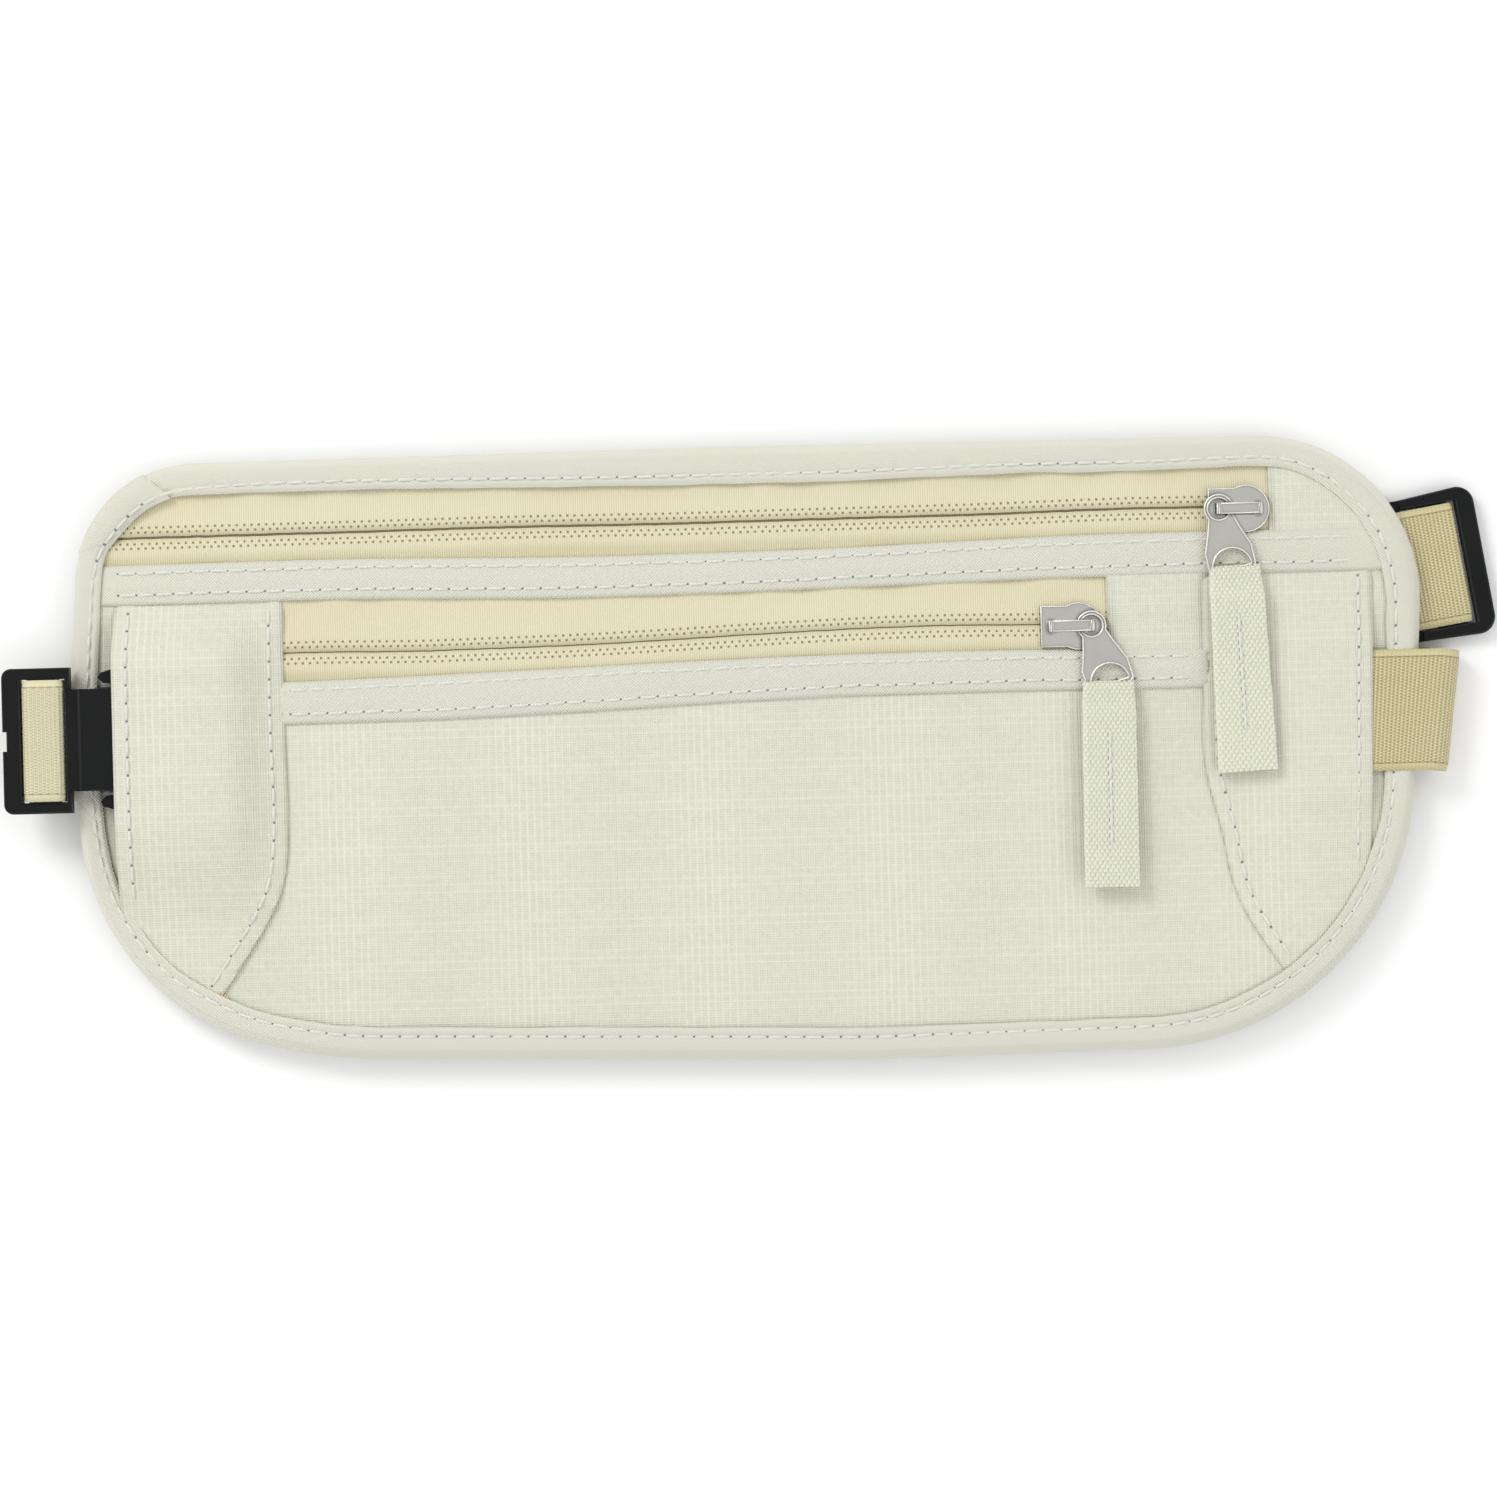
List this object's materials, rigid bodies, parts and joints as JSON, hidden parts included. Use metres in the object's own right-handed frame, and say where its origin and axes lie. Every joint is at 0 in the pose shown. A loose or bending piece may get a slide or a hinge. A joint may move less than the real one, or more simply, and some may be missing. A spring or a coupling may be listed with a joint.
{
  "type": "money belt",
  "caption": "Flat waist pouch with stacked zip pockets, open side wings, an elastic belt, side-release buckle and strap slide.",
  "frame": {"origin": "centre of the bounding box in X and Y, on the surface the pouch lies on", "axes": "+X to the right across the pouch, +Y up its face, +Z out of its front"},
  "size_m": [0.3093, 0.1277, 0.0138],
  "materials": {
    "ripstop": "matt ripstop weave",
    "lining": "metallised lining cloth",
    "lining_cloth": "plain lining",
    "twill": "twill tape",
    "zip_tape": "ribbed zipper tape",
    "zip_coil": "nylon coil",
    "nickel": "brushed nickel",
    "tab_webbing": "coarse webbing",
    "black_plastic": "satin acetal",
    "elastic": "woven elastic"
  },
  "bodies": {
    "pouch": {"back_panel": "ripstop", "rfid_lining": "lining", "pocket_divider": "lining_cloth", "front_panel": "ripstop", "edge_binding": "twill", "upper_tape_top": "zip_tape", "upper_tape_bottom": "zip_tape", "lower_tape_top": "zip_tape", "lower_tape_bottom": "zip_tape", "upper_coil_top": "zip_coil", "upper_coil_bottom": "zip_coil", "lower_coil_top": "zip_coil", "lower_coil_bottom": "zip_coil", "upper_end_patch": "ripstop", "lower_end_patch": "ripstop", "upper_trim_strip": "twill", "lower_trim_strip": "twill", "left_wing": "ripstop", "right_wing": "ripstop", "buckle_male": "black_plastic", "buckle_anchor": "elastic", "belt_front": "elastic", "belt_fold": "elastic", "belt_run": "elastic", "belt_tail": "elastic"},
    "upper_slide": {"upper_slider": "nickel"},
    "upper_pull": {"upper_puller": "nickel"},
    "upper_tab": {"upper_pull_tab": "tab_webbing"},
    "lower_slide": {"lower_slider": "nickel"},
    "lower_pull": {"lower_puller": "nickel"},
    "lower_tab": {"lower_pull_tab": "tab_webbing"},
    "socket": {"buckle_female": "black_plastic", "belt_bar_loop": "elastic"},
    "arm_a": {"buckle_arm_a": "black_plastic"},
    "arm_b": {"buckle_arm_b": "black_plastic"},
    "tail": {"belt_tail_end": "elastic", "tri_glide": "black_plastic"}
  },
  "joints": [
    {"name": "upper_zip_slide", "type": "slide", "parent": "pouch", "child": "upper_slide", "axis": [-1, 0, 0], "range_m": [0, 0.19], "deforming": ["upper_pull_tab"]},
    {"name": "lower_zip_slide", "type": "slide", "parent": "pouch", "child": "lower_slide", "axis": [-1, 0, 0], "range_m": [0, 0.145], "deforming": ["lower_pull_tab"]},
    {"name": "upper_puller_swivel", "type": "hinge", "parent": "upper_slide", "child": "upper_pull", "pos_m": [0.0972, 0.048, 0.00895], "axis": [0, 0, 1], "range_deg": [-185, 4], "deforming": ["upper_pull_tab"]},
    {"name": "lower_puller_swivel", "type": "hinge", "parent": "lower_slide", "child": "lower_pull", "pos_m": [0.0704, 0.0246, 0.00895], "axis": [0, 0, 1], "range_deg": [-45, 160], "deforming": ["lower_pull_tab"]},
    {"name": "upper_tab_lift", "type": "hinge", "parent": "upper_pull", "child": "upper_tab", "pos_m": [0.09994, 0.03509, 0.00895], "axis": [-0.9781, -0.2079, 0], "range_deg": [0, 100]},
    {"name": "lower_tab_lift", "type": "hinge", "parent": "lower_pull", "child": "lower_tab", "pos_m": [0.07426, 0.01198, 0.00895], "axis": [-0.9563, -0.2924, 0], "range_deg": [0, 100]},
    {"name": "buckle_release", "type": "slide", "parent": "pouch", "child": "socket", "axis": [-1, 0, 0], "range_m": [0, 0.035], "deforming": ["belt_run", "belt_tail", "buckle_arm_a", "buckle_arm_b"]},
    {"name": "arm_a_squeeze", "type": "hinge", "parent": "pouch", "child": "arm_a", "pos_m": [-0.1142, 0.0148, 0.0103], "axis": [0, 0, 1], "range_deg": [0, 13], "stiffness_Nm_per_rad": 0.05},
    {"name": "arm_b_squeeze", "type": "hinge", "parent": "pouch", "child": "arm_b", "pos_m": [-0.1142, -0.0024, 0.0103], "axis": [0, 0, -1], "range_deg": [0, 13], "stiffness_Nm_per_rad": 0.05},
    {"name": "tail_adjust", "type": "slide", "parent": "pouch", "child": "tail", "axis": [0.9869, 0.1616, 0], "range_m": [0, 0.04], "deforming": ["belt_tail"]}
  ]
}
